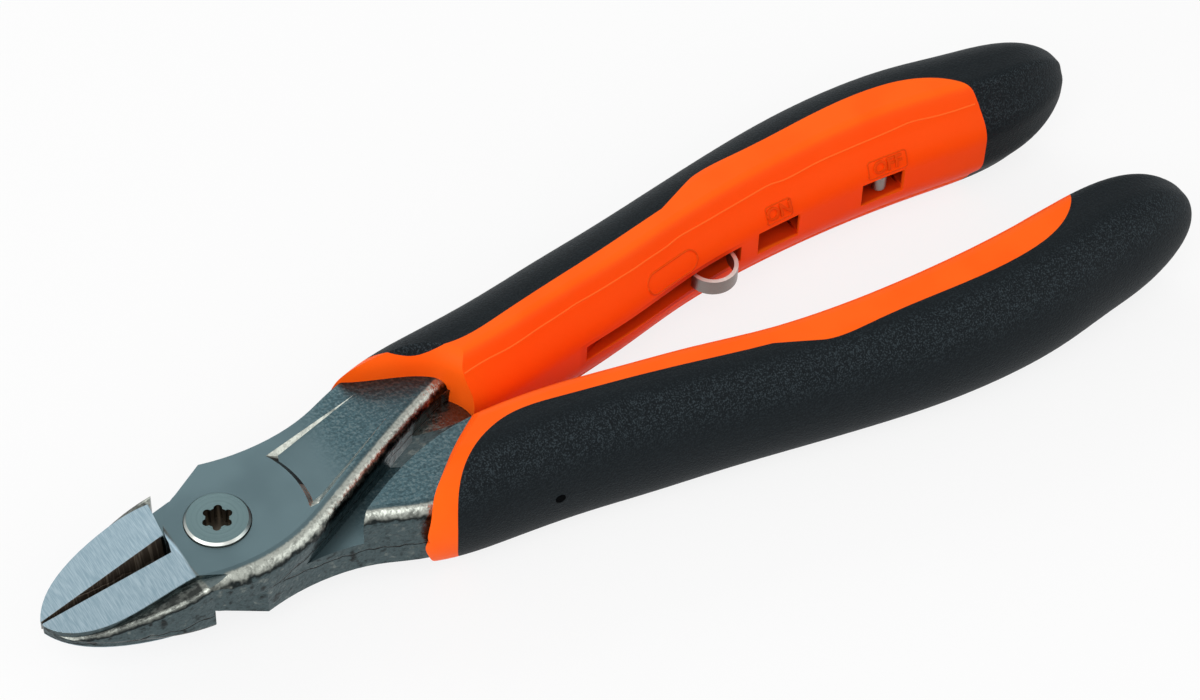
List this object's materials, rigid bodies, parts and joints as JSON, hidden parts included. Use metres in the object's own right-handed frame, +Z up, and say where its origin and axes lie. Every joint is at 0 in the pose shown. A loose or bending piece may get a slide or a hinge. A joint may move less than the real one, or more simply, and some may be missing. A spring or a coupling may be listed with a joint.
{
  "type": "side cutter",
  "caption": "Diagonal side-cutting pliers with a lap joint, grips moulded in a hard and a soft plastic, and a return spring that slides between an off and an on position.",
  "frame": {"origin": "middle of the tool's footprint, level with the lowest point of the grips; the pivot lies 56.2 mm towards -X at a height of 9.85 mm", "axes": "+X along the tool from the jaws to the grips, +Y towards the grip that holds the return spring, +Z up along the pivot screw, out of its head"},
  "size_m": [0.16, 0.048, 0.0197],
  "materials": {
    "forged_steel": "satin, cast texture on the forged ledges",
    "screw_steel": "turned satin",
    "hard_orange": "smooth matte",
    "soft_black": "fine leather grain",
    "spring_steel": "satin"
  },
  "bodies": {
    "top_half": {"half_a": "forged_steel", "grip_core_a": "hard_orange", "grip_skin_a": "soft_black", "pivot_screw": "screw_steel", "pivot_nut": "screw_steel"},
    "bottom_half": {"half_b": "forged_steel", "grip_core_b": "hard_orange", "grip_skin_b": "soft_black"},
    "catch": {"spring_catch": "spring_steel"},
    "bow": {"return_spring": "spring_steel"}
  },
  "joints": [
    {"name": "jaw_hinge", "type": "hinge", "parent": "top_half", "child": "bottom_half", "pos_m": [-0.0562, 0, 0.00985], "axis": [0, 0, -1], "range_deg": [0, 44]},
    {"name": "catch_slide", "type": "slide", "parent": "top_half", "child": "catch", "axis": [-1, 0, 0], "range_m": [0, 0.0172]},
    {"name": "bow_slide", "type": "slide", "parent": "top_half", "child": "bow", "axis": [-0.9831, -0.1829, 0], "range_m": [0, 0.0175]}
  ],
  "couplings": [
    {"joint": "bow_slide", "follows": "catch_slide", "ratio": 1.0172}
  ]
}
